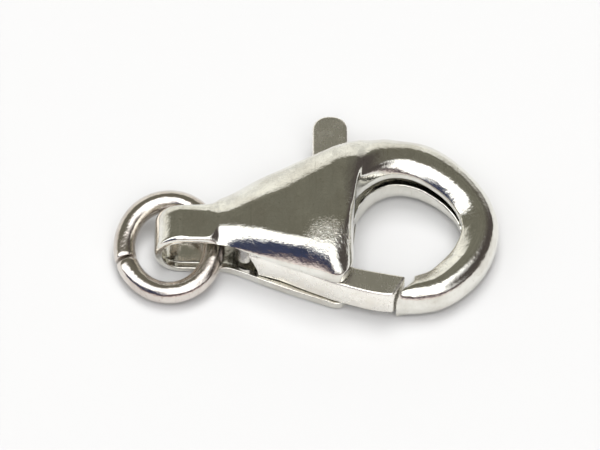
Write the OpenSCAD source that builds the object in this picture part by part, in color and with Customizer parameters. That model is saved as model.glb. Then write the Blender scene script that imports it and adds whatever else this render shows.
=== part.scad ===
// Lobster clasp with a jump ring on its tail, in millimetres.
// X runs from the tail loop to the hook, Y towards the spine and Z up from the back face.
// The origin is where the axis of the gate's pivot meets the back face.
// Outlines are drawn from the tail fold and the tail's centre line, then moved to the pivot.

/* [Body] */
// Length from the tail fold to the far end of the hook
clasp_len = 13; // [12.8:0.1:13.3]
// Length from the tail fold to the edge of the eye
body_len = 7.5; // [7.45:0.01:7.55]
// Thickness over the top of the front face
body_h = 3; // [2.8:0.05:3.3]
// Fall of the front face to the open side
dome_h = 0.8; // [0.7:0.02:0.84]
// Width of the front face's fall to the open side
shoulder_w = 1.1; // [1:0.05:1.2]
// Width of the front face's bevel along the spine
bevel_w = 1.2; // [1:0.05:1.3]
// Fall of the front face's bevel along the spine
bevel_h = 0.46; // [0.36:0.02:0.5]
// Thickness of the sheet
sheet_t = 0.28; // [0.24:0.01:0.3]
// Radius of the back face's rounded edge
back_r = 0.24; // [0.16:0.02:0.28]
// Height of the open side's lower edge above the back face
mouth_lo = 0.44; // [0.4:0.01:0.46]
// Height of the open side's upper edge above the back face
mouth_hi = 1.75; // [1.72:0.01:1.85]

/* [Tail loop] */
// Width of the tail strip
tail_w = 1.7; // [1.6:0.05:1.75]
// Thickness over the folded tail
tail_h = 2.2; // [2.15:0.05:2.4]
// Length of the open loop, from the fold to the spine's wall
loop_len = 3; // [2.95:0.05:3.1]

/* [Hook] */
// Outer radius of the hook
hook_r = 3.48; // [3.44:0.02:3.52]
// How far the hook's centre lies towards the spine from the tail's centre line
hook_rise = 0.4; // [0.36:0.02:0.44]
// Thickness of the hook at its far end
hook_h = 1.65; // [1.6:0.05:1.8]
// Thickness of the hook at its tip
tip_h = 1.42; // [1.38:0.02:1.5]
// Width of the hook at the crown
crown_w = 1.56; // [1.48:0.02:1.6]
// Width of the hook at its far end
side_w = 1.4; // [1.3:0.05:1.45]
// Width of the hook at its tip
tip_w = 1.2; // [1.1:0.02:1.26]
// How far the hook's back rounds up to its edges
hook_back = 0.55; // [0.4:0.05:0.6]
// Height of the groove inside the hook
groove_h = 0.3; // [0.24:0.01:0.34]
// Height of the groove's lower edge above the back face
groove_z = 0.9; // [0.85:0.01:0.92]

/* [Gate] */
// Thickness of the gate
gate_t = 1.18; // [1:0.02:1.2]
// Height of the gate above the back face
gate_z = 0.5; // [0.48:0.01:0.52]
// Width of the gate's arm at the edge of the eye
arm_w = 1.33; // [1.2:0.01:1.36]
// Gap between the gate's tip and the hook's
tip_gap = 0.1; // [0.08:0.01:0.2]
// Slant of the gate's tip, in degrees
tip_slant = 28; // [22:1:30]
// Distance from the tail fold to the thumb tab
tab_at = 5.99; // [5.9:0.01:6]
// Width of the thumb tab
tab_w = 1.34; // [1.2:0.01:1.38]
// Distance from the tail's centre line to the end of the thumb tab
tab_reach = 5.33; // [5:0.01:5.4]
// Radius of the tab's corners
tab_r = 0.6; // [0.3:0.05:0.65]
// How far the gate opens, in degrees
gate_open = 24; // [15:1:25]

/* [Pivot and spring] */
// Distance from the tail fold to the pivot
pivot_x = 4.5; // [4.45:0.01:4.55]
// Distance from the tail's centre line to the pivot, towards the gate
pivot_drop = 1.02; // [1:0.01:1.05]
// Radius of the pivot pin
pin_r = 0.28; // [0.25:0.01:0.3]
// Radial clearance around the pivot pin
pin_gap = 0.03; // [0.02:0.01:0.05]
// Radius of the gate's hub
hub_r = 0.56; // [0.52:0.01:0.58]
// Clearance at each end of the pivot pin
pin_end_gap = 0.01; // [0.01:0.01:0.05]
// Thickness of the gate spring's strip
spring_t = 0.14; // [0.1:0.01:0.16]
// Width of the gate spring's strip
spring_w = 0.9; // [0.6:0.05:1]
// Clearance between the spring and the gate's hub
spring_gap = 0.04; // [0.03:0.01:0.06]

/* [Jump ring] */
// Length of the jump ring, from the loop outwards
ring_len = 4.24; // [4.2:0.02:4.3]
// Width of the jump ring
ring_wide = 4.66; // [4.56:0.02:4.7]
// Diameter of the ring's wire
wire_d = 0.84; // [0.7:0.02:0.84]
// Gap between the ring's ends
ring_gap = 0.12; // [0.05:0.01:0.3]
// Distance from the tail fold to the wire inside the loop
ring_seat = 2.25; // [2.2:0.01:2.3]
// Height of the wire inside the loop above the back face
ring_lift = 1; // [0.98:0.01:1.1]
// Sideways tilt of the ring in the loop, in degrees
ring_tilt = 10; // [0:1:11]
// Place of the gap between the ring's ends, as an angle round the ring
ring_open = 188; // [150:1:210]
// Angle that the ring's outer end drops to the surface, in degrees
ring_pitch = 6.5; // [0:0.5:7]
// Turn of the ring towards the gate's side, in degrees
ring_yaw = 8.5; // [0:0.5:12]

/* [Hidden] */
silver = "#d9d6cd";
$fn = 48;

hook_c = [clasp_len - hook_r, hook_rise];
spine_y = hook_rise + hook_r;
near_y = hook_rise - hook_r;
fold_r = tail_h / 2;
pivot = [pivot_x, -pivot_drop];
band_steps = 66;
fold_steps = 12;
skin_steps = 13;
lining_steps = 7;

function mix(a, b, s) = a + (b - a) * s;
function unit(v) = v / norm(v);
function left_of(v) = [-v[1], v[0]];
function bezier(p, v) =
    pow(1 - v, 3) * p[0] + 3 * v * pow(1 - v, 2) * p[1] + 3 * v * v * (1 - v) * p[2]
    + pow(v, 3) * p[3];

// A smooth curve through the rows of a table: settle() finds its control rows and curve()
// follows them
function control(c, i) =
    i < 0 ? 2 * c[0] - c[1]
    : i > len(c) - 1 ? 2 * c[len(c) - 1] - c[len(c) - 2]
    : c[i];
function knot(c, i) = (control(c, i - 1) + 4 * control(c, i) + control(c, i + 1)) / 6;
function settle(c, p, rounds = 14) =
    rounds == 0 ? c
    : settle([for (i = [0:len(p) - 1]) c[i] + p[i] - knot(c, i)], p, rounds - 1);
function curve(c, s) =
    let (i = max(0, min(floor(s), len(c) - 2)), f = s - i)
    (pow(1 - f, 3) * control(c, i - 1) + (3 * pow(f, 3) - 6 * f * f + 4) * control(c, i)
    + (-3 * pow(f, 3) + 3 * f * f + 3 * f + 1) * control(c, i + 1)
    + pow(f, 3) * control(c, i + 2)) / 6;

// Points of the body's two edges, from shares of its sizes
function spine_at(sx, sy) = [mix(loop_len, body_len, sx), mix(tail_w / 2, spine_y, sy)];
function near_at(sx, sy) = [mix(loop_len, body_len, sx), mix(-tail_w / 2, near_y, sy)];
function eye_at(sy) = [body_len, mix(near_y, hook_rise, sy)];
function round_hook(r, a) = hook_c + r * [cos(a), sin(a)];
// A point of the slit between the gate and the hook, side -1 for the gate's tip
function slit_at(w, side) =
    [hook_c[0] - 0.13 * hook_r + w * tan(tip_slant) + side * tip_gap / 2 / cos(tip_slant),
    near_y + w];

// The body, a row for each station from the fold to the eye
// columns: spine x share, spine y share, near x share, near y share, top share, bevel share,
// fall share, mouth share
BODY = [
    [-0.20, 0.03, -0.20, 0.01, 0.00, 0.45, 0.15,  0.0],
    [-0.12, 0.12, -0.12, 0.02, 0.02, 0.75, 0.80,  0.5],
    [-0.01, 0.21, -0.01, 0.06, 0.12, 0.90, 0.95,  0.8],
    [ 0.16, 0.34,  0.19, 0.24, 0.40, 1.00, 1.00, 0.95],
    [ 0.31, 0.42,  0.40, 0.43, 0.66, 1.05, 1.00,  1.0],
    [ 0.44, 0.49,  0.60, 0.59, 0.86, 1.05, 1.00,  1.0],
    [ 0.55, 0.56,  0.77, 0.72, 0.97, 1.00, 1.10,  1.0],
    [ 0.65, 0.63,  0.88, 0.78, 1.00, 0.95, 1.30,  1.0],
    [ 0.74, 0.70,  0.96, 0.65, 0.99, 0.90, 1.50,  1.0],
];
// The edge of the eye
// columns: spine x share, spine y share, share of the way up the edge, top share, bevel share,
// fall share, mouth share
EYE = [
    [0.84, 0.780, 0.38, 0.96, 0.80, 1.50, 1.00],
    [0.95, 0.865, 0.62, 0.90, 0.85, 1.25, 1.00],
    [1.07, 0.940, 0.86, 0.81, 0.95, 0.90, 1.02],
];
// The bend from the body into the hook
// columns: spine x share, spine y share, angle inside the hook, top share, bevel share,
// fall share, mouth share
BEND = [
    [1.18, 1.005, 165, 0.70, 0.95, 0.8, 1.45],
    [1.30, 1.060, 144, 0.59, 0.70, 0.8,  1.9],
    [1.41, 1.055, 122, 0.50, 0.70, 0.9,  2.0],
];
// The hook
// columns: outer angle, outer radius share, inner angle, width share from crown to side,
// width share from side to tip, top share, share of the way down to the tip, mouth share
HOOK = [
    [ 79, 1.034, 101, 0.0, 0.0, 0.41,  0.0, 2.0],
    [ 64, 1.003,  79, 0.0, 0.0, 0.32,  0.0, 2.0],
    [ 48, 0.974,  58, 0.2, 0.0, 0.22,  0.0, 2.1],
    [ 32, 0.974,  37, 0.5, 0.0, 0.13,  0.0, 2.3],
    [ 15, 0.993,  17, 0.8, 0.0, 0.05,  0.0, 2.6],
    [ -2, 1.005,  -2, 1.0, 0.0, 0.01,  0.0, 2.9],
    [-19, 0.991, -20, 1.0, 0.0, 0.00, 0.25, 3.0],
    [-36, 0.983, -37, 1.0, 0.0, 0.00,  0.5, 3.0],
    [-53, 0.988, -54, 1.0, 0.1, 0.00,  0.7, 3.0],
    [-68, 1.000, -68, 1.0, 0.4, 0.00, 0.85, 3.0],
    [-81, 0.988, -81, 1.0, 0.8, 0.00, 0.95, 3.0],
];
// The rounded end of the hook, with widths along the slit
// columns: outer angle, outer radius share, share of the way from the last row to the slit,
// inner width share
TIP = [
    [  -87, 0.982, 0.42, 0.94],
    [-93.5, 0.988, 0.88, 0.74],
];

bow_r = hook_r * HOOK[0][1] - crown_w;
side_end = hook_c + (hook_r * HOOK[len(HOOK) - 1][1] - tip_w) * [cos(81), -sin(81)];
tip_section = [tip_h, 0.8, 1, 3];
function hook_w(row) = mix(mix(crown_w, side_w, row[3]), tip_w, row[4]);
rows = concat(
    [[fold_r, tail_w / 2, fold_r, -tail_w / 2, tail_h, 0.3, 0.15, 0]],
    [for (r = BODY) concat(spine_at(r[0], r[1]), near_at(r[2], r[3]),
        [mix(tail_h, body_h, r[4]), r[5], r[6], r[7]])],
    [for (r = EYE) concat(spine_at(r[0], r[1]), eye_at(r[2]),
        [mix(hook_h, body_h, r[3]), r[4], r[5], r[6]])],
    [for (r = BEND) concat(spine_at(r[0], r[1]), round_hook(bow_r, r[2]),
        [mix(hook_h, body_h, r[3]), r[4], r[5], r[6]])],
    [for (r = HOOK)
        concat(round_hook(hook_r * r[1], r[0]), round_hook(hook_r * r[1] - hook_w(r), r[2]),
        [mix(mix(hook_h, body_h, r[5]), tip_h, r[6]), 0.8, 1, r[7]])],
    [for (r = TIP) concat(round_hook(hook_r * r[1], r[0]),
        mix(side_end, slit_at(r[3] * tip_w, 1), r[2]), tip_section)],
    [concat(slit_at(0.02 * tip_w, 1), slit_at(0.55 * tip_w, 1), tip_section)]
);
controls = settle(rows, rows);
function station(i) = curve(controls, (len(rows) - 1) * i / band_steps);
stations = [for (i = [0:band_steps]) station(i)];
function outer_of(i) = [stations[i][0], stations[i][1]];
function inner_of(i) = [stations[i][2], stations[i][3]];

// Least height of the wall between the lining and the edge of an opening
lip = 0.14 * sheet_t;
// Shares of the way from body to hook and from crown to tip, from a mouth share
function into_hook(s) = min(1, max(0, s - 1));
function down_hook(s) = min(1, max(0, s - 2));
// Height of the groove's lower edge beside a top of height h
function groove_at(h, s) = mix(groove_z, groove_z - 0.7 * groove_h, down_hook(s)) * h / hook_h;
// The lower and upper edge of the open side, under a top of height h
function mouth(h, s) =
    s < 1 ? [mix(1.1 * sheet_t, mouth_lo, s), mix(h - 1.1 * sheet_t, mouth_hi, s)]
    : [mix(mouth_lo, groove_at(h, s), into_hook(s)),
        mix(mouth_hi, groove_at(h, s) + groove_h * h / hook_h, into_hook(s))];
// The lower and upper edge of the wall beside the spine
function spine_mouth(h, s) =
    s < 1 ? mouth(h, s)
    : [mix(mouth_lo, 0.42 * h, into_hook(s)), mix(mouth_hi, 0.5 * h, into_hook(s))];
// Width, fall and power of the bevel beside the spine
function bevel(st, w) =
    let (h = st[4], into = into_hook(st[7]), down = down_hook(st[7]))
    [min(mix(bevel_w * st[5], 0.47 * w, into), 0.48 * w),
    min(mix(mix(bevel_h * min(1, st[5]), 0.3 * h, into), 0.45 * h, down),
        h - spine_mouth(h, st[7])[1] - lip),
    mix(mix(1.3, 1.8, into), 2.1, down)];
// Width, fall and power of the face's fall to the open side
function fall(st, w) =
    let (h = st[4], into = into_hook(st[7]), down = down_hook(st[7]),
        room = h - mouth(h, st[7])[1])
    [mix(min(mix(shoulder_w * st[6], 0.4 * crown_w, into), 0.5 * w), 0.47 * w, down),
    min(mix(mix(dome_h * min(1, st[6]), room - sheet_t, into), 0.2 * h, down), room - lip),
    mix(2, 1.2, down)];
// A section's top from its inner end hi to its outer end lo, as lengths along it and heights
function top_line(lo, hi, top, bevel, fall, steps) = concat(
    [for (k = [0:steps]) let (t = 1 - k / steps)
        [hi - fall[0] * (1 - t), top - fall[1] * pow(t, fall[2])]],
    [for (k = [0:steps]) let (c = sin(90 * k / steps))
        [lo + bevel[0] * (1 - c), top - bevel[1] * (1 - pow(1 - pow(c, bevel[2]), 1 / bevel[2]))]]
);
// A point of an arch with upright ends, as a length along the section and a height
function dome(u, w, rise, power) =
    [w * (1 - cos(180 * u)) / 2, rise * pow(max(0, 1 - pow(abs(cos(180 * u)), power)), 1 / power)];
// How much wider the sheet is along the section than across the wall
function slope(i, side) =
    let (
        along = side == 0
            ? outer_of(min(i + 1, band_steps)) - outer_of(max(i - 1, 0))
            : inner_of(min(i + 1, band_steps)) - inner_of(max(i - 1, 0)),
        across = unit(inner_of(i) - outer_of(i))
    )
    min(1.4, 1 / max(0.1, abs(unit(along) * left_of(across))));

// Back half of the outside, from the open side round to the spine
function back_skin(i) =
    let (st = stations[i], w = norm(inner_of(i) - outer_of(i)), s = into_hook(st[7]),
        r = mix(back_r, hook_back * st[4] / hook_h, s))
    concat(
        [[w, mouth(st[4], st[7])[0]]],
        [for (k = [0:skin_steps]) let (p = dome(1 - k / skin_steps, w, r, mix(8, 2.2, s)))
            [p[0], r - p[1]]],
        [[0, spine_mouth(st[4], st[7])[0]]]
    );
// Front half of the outside, from the open side round to the spine
function front_skin(i) =
    let (st = stations[i], w = norm(inner_of(i) - outer_of(i)))
    concat(
        [[w, mouth(st[4], st[7])[1]]],
        top_line(0, w, st[4], bevel(st, w), fall(st, w), floor(skin_steps / 2)),
        [[0, spine_mouth(st[4], st[7])[1]]]
    );
function back_lining(i) =
    let (st = stations[i], w = norm(inner_of(i) - outer_of(i)), a = sheet_t * slope(i, 0),
        b = w - sheet_t * slope(i, 1))
    concat(
        [[b, mouth(st[4], st[7])[0]]],
        [for (k = [0:lining_steps]) [mix(b, a, k / lining_steps), sheet_t]],
        [[a, spine_mouth(st[4], st[7])[0]]]
    );
function front_lining(i) =
    let (st = stations[i], w = norm(inner_of(i) - outer_of(i)), a = sheet_t * slope(i, 0),
        b = w - sheet_t * slope(i, 1), top = st[4] - sheet_t,
        m = mouth(st[4], st[7])[1], j = spine_mouth(st[4], st[7])[1],
        p = bevel(st, w), q = fall(st, w), half = 0.48 * (b - a))
    concat(
        [[b, m]],
        top_line(a, b, top, [min(p[0], half), min(0.8 * p[1], top - j - lip), p[2]],
            [min(q[0], half), min(0.8 * q[1], top - m - lip), q[2]], floor(lining_steps / 2)),
        [[a, j]]
    );
function place(i, p) =
    let (q = outer_of(i) + p[0] * unit(inner_of(i) - outer_of(i))) [q[0], q[1], p[1]];

// The fold carries the front strip's section round to the back strip's
function fold(front, back, f) =
    [for (k = [0:len(front) - 1])
        let (
            r = mix(front[k][1] - fold_r, fold_r - back[k][1], f),
            y = tail_w / 2 - mix(front[k][0], back[k][0], f)
        )
        [fold_r - r * sin(180 * f), y, fold_r + r * cos(180 * f)]];

n_skin = skin_steps + 3;
n_lining = lining_steps + 3;
n_row = 2 * (n_skin + n_lining);
front_at = n_skin + n_lining;
band_points = [for (i = [0:band_steps])
    for (p = concat(back_skin(i), back_lining(i), front_skin(i), front_lining(i))) place(i, p)];
fold_points = [for (k = [1:fold_steps - 1])
    for (p = concat(fold(front_skin(0), back_skin(0), k / fold_steps),
        fold(front_lining(0), back_lining(0), k / fold_steps))) p];

// Indices of points: in the band, and in the fold, whose two ends are the band's first row
function at(i, front, lining, k) = i * n_row + (front ? front_at : 0) + (lining ? n_skin : 0) + k;
function fold_at(f, lining, k) =
    f == 0 ? at(0, true, lining, k)
    : f == fold_steps ? at(0, false, lining, k)
    : (band_steps + 1) * n_row + (f - 1) * (n_skin + n_lining) + (lining ? n_skin : 0) + k;
function pair(a, b, c, d) = [[a, b, c], [a, c, d]];
function flip(faces, on) = on ? [for (f = faces) [f[2], f[1], f[0]]] : faces;

// The slot in the spine's wall clears the tab from its closed to its open place
slot_gap = 0.25 * sheet_t;
swing_gap = 1.3 * sheet_t;
tab_edge = [tab_at, mix(tail_w / 2, spine_y, 0.32)] - pivot;
slot_from = pivot[0] + tab_edge[0] * cos(gate_open) - tab_edge[1] * sin(gate_open) - swing_gap;
slot_to = tab_at + tab_w + slot_gap;
function first_past(x) = [for (i = [0:band_steps]) if (outer_of(i)[0] > x) i][0];
wall_from = first_past(loop_len);
slot = [first_past(slot_from), first_past(slot_to)];
function open_wall(i) = i < wall_from || (i >= slot[0] && i < slot[1]);
last = floor(band_steps * (len(rows) - 3.6) / (len(rows) - 1));

// The sheet's faces between stations i and i + 1
function strip(i, front) = concat(
    [for (k = [0:n_skin - 2]) each flip(pair(at(i, front, false, k), at(i, front, false, k + 1),
        at(i + 1, front, false, k + 1), at(i + 1, front, false, k)), front)],
    i >= last ? [] : [for (k = [0:n_lining - 2])
        each flip(pair(at(i, front, true, k), at(i, front, true, k + 1),
        at(i + 1, front, true, k + 1), at(i + 1, front, true, k)), !front)],
    i >= last ? [] : flip(pair(at(i, front, false, 0), at(i + 1, front, false, 0),
        at(i + 1, front, true, 0), at(i, front, true, 0)), front)
);
function wall(i) =
    open_wall(i)
    ? [for (front = [false, true]) each flip(pair(
        at(i, front, false, n_skin - 1), at(i, front, true, n_lining - 1),
        at(i + 1, front, true, n_lining - 1), at(i + 1, front, false, n_skin - 1)), front)]
    : concat(
        pair(at(i, false, false, n_skin - 1), at(i, true, false, n_skin - 1),
            at(i + 1, true, false, n_skin - 1), at(i + 1, false, false, n_skin - 1)),
        i >= last ? [] : pair(at(i, true, true, n_lining - 1), at(i, false, true, n_lining - 1),
            at(i + 1, false, true, n_lining - 1), at(i + 1, true, true, n_lining - 1))
    );
// The wall's end, where it stops beside an opening; facing 1 looks back to the tail
function wall_end(i, facing) = flip(pair(
    at(i, false, false, n_skin - 1), at(i, false, true, n_lining - 1),
    at(i, true, true, n_lining - 1), at(i, true, false, n_skin - 1)), facing < 0);
function fold_faces() = concat(
    [for (f = [0:fold_steps - 1]) for (k = [0:n_skin - 2])
        each pair(fold_at(f, false, k), fold_at(f, false, k + 1),
            fold_at(f + 1, false, k + 1), fold_at(f + 1, false, k))],
    [for (f = [0:fold_steps - 1]) for (k = [0:n_lining - 2])
        each flip(pair(fold_at(f, true, k), fold_at(f, true, k + 1),
            fold_at(f + 1, true, k + 1), fold_at(f + 1, true, k)), true)],
    [for (f = [0:fold_steps - 1]) each pair(fold_at(f, false, 0), fold_at(f + 1, false, 0),
        fold_at(f + 1, true, 0), fold_at(f, true, 0))],
    [for (f = [0:fold_steps - 1]) each flip(pair(
        fold_at(f, false, n_skin - 1), fold_at(f + 1, false, n_skin - 1),
        fold_at(f + 1, true, n_lining - 1), fold_at(f, true, n_lining - 1)), true)]
);
// A ring of indices that starts at its nth one, so that a flat face spreads from the dome's top
function from_nth(ring, n) = [for (k = [0:len(ring) - 1]) ring[(k + n) % len(ring)]];
// The closed tip: the hollow's end, the groove's closed part and the end face
function tip_faces() = concat(
    [from_nth(concat([for (k = [0:n_lining - 1]) at(last, true, true, k)],
        [for (k = [n_lining - 1:-1:0]) at(last, false, true, k)]), floor(n_lining / 2))],
    pair(at(last, true, false, 0), at(last, true, true, 0), at(last, false, true, 0),
        at(last, false, false, 0)),
    [for (i = [last:band_steps - 1]) each pair(at(i, true, false, 0), at(i, false, false, 0),
        at(i + 1, false, false, 0), at(i + 1, true, false, 0))],
    [from_nth(concat([for (k = [n_skin - 1:-1:0]) at(band_steps, true, false, k)],
        [for (k = [0:n_skin - 1]) at(band_steps, false, false, k)]), floor(n_skin / 2))]
);

module clasp_body() {
    color(silver)
    translate([-pivot[0], -pivot[1], 0])
    polyhedron(
        points = concat(band_points, fold_points),
        faces = concat(
            [for (i = [0:band_steps - 1]) each concat(strip(i, false), strip(i, true), wall(i))],
            wall_end(wall_from, 1), wall_end(slot[0], -1), wall_end(slot[1], 1),
            fold_faces(), tip_faces()
        ),
        convexity = 8
    );
}

// The gate's outline: its arm, its heel, the web and the thumb tab
function arm_at(sx, sy) = [mix(body_len, hook_c[0], sx), near_y + sy * arm_w];
function web_at(sx, sy) = [mix(pivot[0], tab_at, sx), mix(pivot[1], tab_reach, sy)];
arm_in = [arm_at(0.01, 1), arm_at(0.35, 0.85), arm_at(0.75, 0.75), slit_at(0.74 * tip_w, -1)];
arm_out = [slit_at(0.01 * tip_w, -1), arm_at(0.4, -0.01), arm_at(0, 0.24), arm_at(-0.35, 0.41)];
// columns: near x share, near y share
HEEL = [
    [0.60, 0.54],
    [0.38, 0.33],
    [0.24, 0.23],
    [0.12, 0.17],
    [0.13, 0.07],
];
heel_end = near_at(0.12, 0)[0];
web_in = [pivot + 0.98 * hub_r * [cos(72), sin(72)], web_at(0.3, 0.21), web_at(1, 0.28),
    web_at(1, 0.52)];
function tab_corner(x, a) = [x + tab_r * cos(a), tab_reach - tab_r + tab_r * sin(a)];
lever_outline = concat(
    [for (k = [0:12]) bezier(arm_in, k / 12)],
    [for (k = [0:12]) bezier(arm_out, k / 12)],
    [for (r = HEEL) near_at(r[0], r[1])],
    [pivot + hub_r * [-0.9, 0.1]],
    [for (k = [0:12]) bezier(web_in, k / 12)],
    [for (k = [0:6]) tab_corner(tab_at + tab_r, 180 - 15 * k)],
    [for (k = [0:6]) tab_corner(tab_at + tab_w - tab_r, 90 - 15 * k)],
    [web_at(1, 0.49) + [tab_w, 0], [tab_at + tab_w, near_y + 1.13 * arm_w]]
);
module gate_lever() {
    wide = -near_y;
    color(silver)
    translate([-pivot[0], -pivot[1], gate_z])
    difference() {
        union() {
            linear_extrude(gate_t) polygon(lever_outline);
            translate(pivot) cylinder(r = hub_r, h = gate_t);
        }
        translate([pivot[0], pivot[1], -gate_t]) cylinder(r = pin_r + pin_gap, h = 3 * gate_t);
        // The heel's end slants back towards the tail
        translate([heel_end, near_y, gate_t]) rotate([0, 70, 0])
            translate([0, 0, -wide]) cube(wide);
    }
}

// Height of the front lining over a point, from the two sections on either side of it
function ahead(i, p) = cross(inner_of(i) - outer_of(i), p - outer_of(i));
function lining_at(i, p) =
    lookup((p - outer_of(i)) * unit(inner_of(i) - outer_of(i)), front_lining(i));
function lining_over(p) =
    let (i = [for (i = [1:last - 1]) if (ahead(i - 1, p) * ahead(i, p) <= 0) i][0])
    min(lining_at(i - 1, p), lining_at(i, p));
pin_foot = sheet_t + pin_end_gap;
pin_head = min([for (a = [0:15:345]) lining_over(pivot + pin_r * [cos(a), sin(a)])]) - pin_end_gap;
module pivot_pin() {
    color(silver)
    translate([0, 0, pin_foot]) cylinder(r = pin_r, h = pin_head - pin_foot);
}

// The spring: one leg along the spine's wall, a bend in the neck and a leg on the gate's hub
bend = [loop_len + spring_t, -0.03 * tail_w];
function leg_at(sx, sy) = [mix(bend[0], pivot[0], sx), mix(bend[1], pivot[1], sy)];
rest = (hub_r + spring_gap + spring_t / 2) * [cos(117), sin(117)];
spring_path = concat(
    [for (k = [0:12]) bezier([spine_at(0.28, 0.17), spine_at(0.155, 0.05),
        bend + tail_w * [0.035, 0.353], bend], k / 12)],
    [for (k = [1:12]) bezier([bend, leg_at(-0.037, 0.464), leg_at(0.044, 0.794),
        leg_at(0.265, 0.753)], k / 12)],
    [for (k = [1:8]) bezier([leg_at(0.265, 0.753), leg_at(0.449, 0.722),
        pivot + rest + 0.5 * hub_r * left_of(unit(rest)), pivot + rest], k / 8)]
);
function beside(p, i, d) =
    p[i] + d * left_of(unit(p[min(i + 1, len(p) - 1)] - p[max(i - 1, 0)]));
module gate_spring() {
    n = len(spring_path) - 1;
    color(silver)
    translate([-pivot[0], -pivot[1], gate_z + (gate_t - spring_w) / 2])
    linear_extrude(spring_w)
    polygon(concat(
        [for (i = [0:n]) beside(spring_path, i, spring_t / 2)],
        [for (i = [n:-1:0]) beside(spring_path, i, -spring_t / 2)]
    ));
}

// The ring is an oval of four arcs: two flat ones at its ends along X, two round ones between
ring_a = (ring_len - wire_d) / 2;
ring_b = (ring_wide - wire_d) / 2;
ring_k = (ring_b - ring_a) / (sqrt(2) - 1);
flat_r = ring_a + ring_k / sqrt(2);
round_r = ring_b - ring_k / sqrt(2);
module wire(r, from, to) {
    rotate([0, 0, from]) rotate_extrude(angle = to - from) translate([r, 0]) circle(d = wire_d);
}
module jump_ring() {
    color(silver)
    translate([ring_seat - pivot[0], -pivot[1], ring_lift])
    rotate([0, 0, ring_yaw]) rotate([ring_tilt, 0, 0]) rotate([0, -ring_pitch, 0])
    translate([-ring_a, 0, 0])
    difference() {
        union() {
            translate([ring_a - flat_r, 0, 0]) wire(flat_r, -45, 45);
            translate([0, ring_b - round_r, 0]) wire(round_r, 45, 135);
            translate([flat_r - ring_a, 0, 0]) wire(flat_r, 135, 225);
            translate([0, round_r - ring_b, 0]) wire(round_r, 225, 315);
        }
        rotate([0, 0, ring_open])
            translate([ring_a - wire_d, -ring_gap / 2, -wire_d])
            cube([2 * wire_d, ring_gap, 2 * wire_d]);
    }
}

clasp_body();
gate_lever();
pivot_pin();
gate_spring();
jump_ring();
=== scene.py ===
"""Looks of a silver lobster clasp with a jump ring in its tail loop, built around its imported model.

Lengths in the classes are millimetres in the tail frame: X runs from the tail fold to the hook, Y from the
tail's centre line towards the spine and Z up from the surface that the clasp lies on. Finished meshes are
metres in the row frame, whose origin lies under the gate's pivot.
"""
import logging
import math
from collections.abc import Callable, Sequence
from dataclasses import dataclass, field
from enum import Enum

import bmesh
import bpy
import numpy as np
from mathutils import Matrix, Vector, noise


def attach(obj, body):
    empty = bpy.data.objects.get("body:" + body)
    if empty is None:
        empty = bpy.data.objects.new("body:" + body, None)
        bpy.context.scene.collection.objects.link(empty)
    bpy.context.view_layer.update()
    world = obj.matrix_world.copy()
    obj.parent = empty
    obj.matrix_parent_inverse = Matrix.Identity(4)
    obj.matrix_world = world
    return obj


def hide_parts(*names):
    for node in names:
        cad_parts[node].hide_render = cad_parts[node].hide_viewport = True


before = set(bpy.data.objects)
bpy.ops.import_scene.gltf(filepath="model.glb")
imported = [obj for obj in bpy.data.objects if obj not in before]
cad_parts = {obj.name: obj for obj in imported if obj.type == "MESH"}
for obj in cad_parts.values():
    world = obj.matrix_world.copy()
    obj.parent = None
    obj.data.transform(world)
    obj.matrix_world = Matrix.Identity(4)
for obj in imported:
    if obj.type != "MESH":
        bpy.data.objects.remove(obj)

LOG = logging.getLogger("lobster_clasp")
MM = 0.001
MERGE_M = 2e-7
SHARP_DEG = 38.0
NUMBERS = float | np.ndarray
VALUE = float | bpy.types.NodeSocket


class Rigid(Enum):
    """Rigid bodies of the clasp, by the names that pieces ride on."""

    SHELL = "body"
    GATE = "gate"
    RING = "ring"


class Slot(Enum):
    """Material slots of the record."""

    SHELL = "body_silver"
    GATE = "gate_silver"
    PIN = "pin_steel"
    SPRING = "spring_steel"
    RING = "ring_silver"


# Section maths


def mix(a: NUMBERS, b: NUMBERS, share: NUMBERS) -> NUMBERS:
    """Returns the value a share of the way from a to b, for numbers and arrays alike."""
    return a + (b - a) * share


def unit(v: np.ndarray) -> np.ndarray:
    """Returns vectors along the last axis, each made one long."""
    return v / np.maximum(np.linalg.norm(v, axis=-1, keepdims=True), 1e-12)


def heading(angle_deg: float) -> np.ndarray:
    """Returns the unit vector at an angle from the X axis, in degrees."""
    return np.array([math.cos(math.radians(angle_deg)), math.sin(math.radians(angle_deg))])


def bezier(points: Sequence[Sequence[float]], steps: int) -> np.ndarray:
    """Samples a cubic Bezier curve.

    Args:
        points: Its four control points.
        steps: Number of equal steps of its parameter.

    Returns:
        The steps + 1 points along it, both ends among them.
    """
    v = np.linspace(0, 1, steps + 1)[:, None]
    p = np.array(points, float)
    return (1 - v) ** 3 * p[0] + 3 * v * (1 - v) ** 2 * p[1] + 3 * v * v * (1 - v) * p[2] + v ** 3 * p[3]


def spread(points: np.ndarray, count: int, turning: float = 0.5) -> np.ndarray:
    """Spaces points anew along a line, closer together where it turns.

    Args:
        points: The line's dense points, as rows.
        count: Number of points wanted.
        turning: Share of the points given out by turning and not by length.

    Returns:
        The new points, with the line's own two ends.
    """
    d = np.diff(points, axis=0)
    length = np.linalg.norm(d, axis=1)
    keep = np.concatenate([[True], length > 1e-9])
    points = points[keep]
    d = np.diff(points, axis=0)
    length = np.linalg.norm(d, axis=1)
    u = d / length[:, None]
    turn = np.zeros(len(length))
    bends = np.arccos(np.clip((u[1:] * u[:-1]).sum(1), -1, 1))
    turn[1:] += bends / 2
    turn[:-1] += bends / 2
    weight = (1 - turning) * length / length.sum() + turning * turn / max(turn.sum(), 1e-9)
    along = np.concatenate([[0], np.cumsum(weight)])
    at = np.linspace(0, along[-1], count)
    return np.stack([np.interp(at, along, points[:, k]) for k in range(points.shape[1])], axis=1)


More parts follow.
